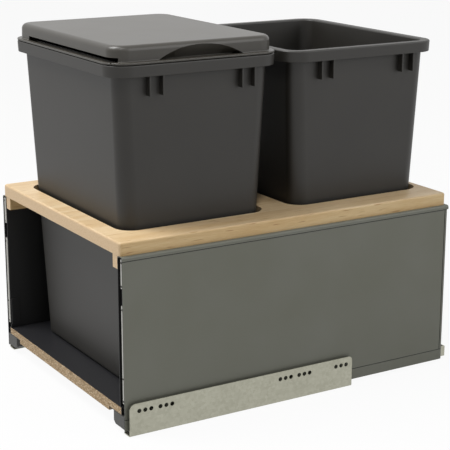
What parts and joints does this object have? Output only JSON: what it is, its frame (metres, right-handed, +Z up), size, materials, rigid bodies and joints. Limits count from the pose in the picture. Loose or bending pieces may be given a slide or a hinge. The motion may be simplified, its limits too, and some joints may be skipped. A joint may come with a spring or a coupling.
{
  "type": "pull-out waste unit for a kitchen base cabinet",
  "caption": "Steel-sided pull-out drawer on full-extension side runners, with tall waste bins hanging through a maple frame and a lid on the front bin.",
  "frame": {"origin": "centre of the footprint's bounding box, on the cabinet floor", "axes": "+Z up, -Y towards the door, +X to the right seen from the door side"},
  "size_m": [0.4096, 0.555, 0.512],
  "materials": {
    "galvanised_steel": "zinc-plated sheet, satin",
    "runner_steel": "rolled zinc-plated steel, lightly oiled",
    "lacquered_steel": "grey-green powder coat, fine satin",
    "maple": "clear satin varnish, grain front to back",
    "laminate_board": "particleboard with dark melamine faces",
    "bin_plastic": "moulded polypropylene, fine texture",
    "lid_plastic": "moulded polypropylene, fine texture",
    "trim_plastic": "moulded, satin",
    "roller_plastic": "turned acetal",
    "screw_steel": "zinc-plated"
  },
  "bodies": {
    "cabinet_rails": {"cabinet_rail_l": "galvanised_steel", "cabinet_rail_r": "galvanised_steel"},
    "drawer": {"back_bracket_l": "galvanised_steel", "back_bracket_r": "galvanised_steel", "back_panel": "laminate_board", "back_screws": "screw_steel", "bottom_panel": "laminate_board", "bottom_screws": "screw_steel", "cleat_l": "maple", "cleat_r": "maple", "cleat_screws": "screw_steel", "cover_cap_l": "trim_plastic", "cover_cap_r": "trim_plastic", "drawer_profile_l": "runner_steel", "drawer_profile_r": "runner_steel", "drawer_side_l": "lacquered_steel", "drawer_side_r": "lacquered_steel", "frame_screws": "screw_steel", "front_bracket_lower_l": "galvanised_steel", "front_bracket_lower_r": "galvanised_steel", "front_bracket_upper_l": "galvanised_steel", "front_bracket_upper_r": "galvanised_steel", "side_end_cap_l": "trim_plastic", "side_end_cap_r": "trim_plastic", "top_frame": "maple"},
    "middle_profiles": {"middle_profile_l": "runner_steel", "middle_profile_r": "runner_steel"},
    "lower_carriages": {"lower_cage_l": "runner_steel", "lower_cage_r": "runner_steel", "lower_rollers_l": "roller_plastic", "lower_rollers_r": "roller_plastic"},
    "upper_carriages": {"upper_cage_l": "runner_steel", "upper_cage_r": "runner_steel", "upper_rollers_l": "roller_plastic", "upper_rollers_r": "roller_plastic"},
    "bin_front": {"bin_front": "bin_plastic"},
    "bin_rear": {"bin_rear": "bin_plastic"},
    "lid": {"lid": "lid_plastic"}
  },
  "joints": [
    {"name": "drawer_slide", "type": "slide", "parent": "cabinet_rails", "child": "drawer", "axis": [0, -1, 0], "range_m": [0, 0.54]},
    {"name": "middle_slide", "type": "slide", "parent": "cabinet_rails", "child": "middle_profiles", "axis": [0, -1, 0], "range_m": [0, 0.27]},
    {"name": "lower_carriage_slide", "type": "slide", "parent": "cabinet_rails", "child": "lower_carriages", "axis": [0, -1, 0], "range_m": [0, 0.135]},
    {"name": "upper_carriage_slide", "type": "slide", "parent": "cabinet_rails", "child": "upper_carriages", "axis": [0, -1, 0], "range_m": [0, 0.405]},
    {"name": "front_bin_lift", "type": "slide", "parent": "drawer", "child": "bin_front", "axis": [0, 0, 1], "range_m": [0, 0.24]},
    {"name": "rear_bin_lift", "type": "slide", "parent": "drawer", "child": "bin_rear", "axis": [0, 0, 1], "range_m": [0, 0.24]},
    {"name": "lid_lift", "type": "slide", "parent": "bin_front", "child": "lid", "axis": [0, 0, 1], "range_m": [0, 0.06]}
  ],
  "couplings": [
    {"joint": "middle_slide", "follows": "drawer_slide", "ratio": 0.5},
    {"joint": "lower_carriage_slide", "follows": "drawer_slide", "ratio": 0.25},
    {"joint": "upper_carriage_slide", "follows": "drawer_slide", "ratio": 0.75}
  ]
}
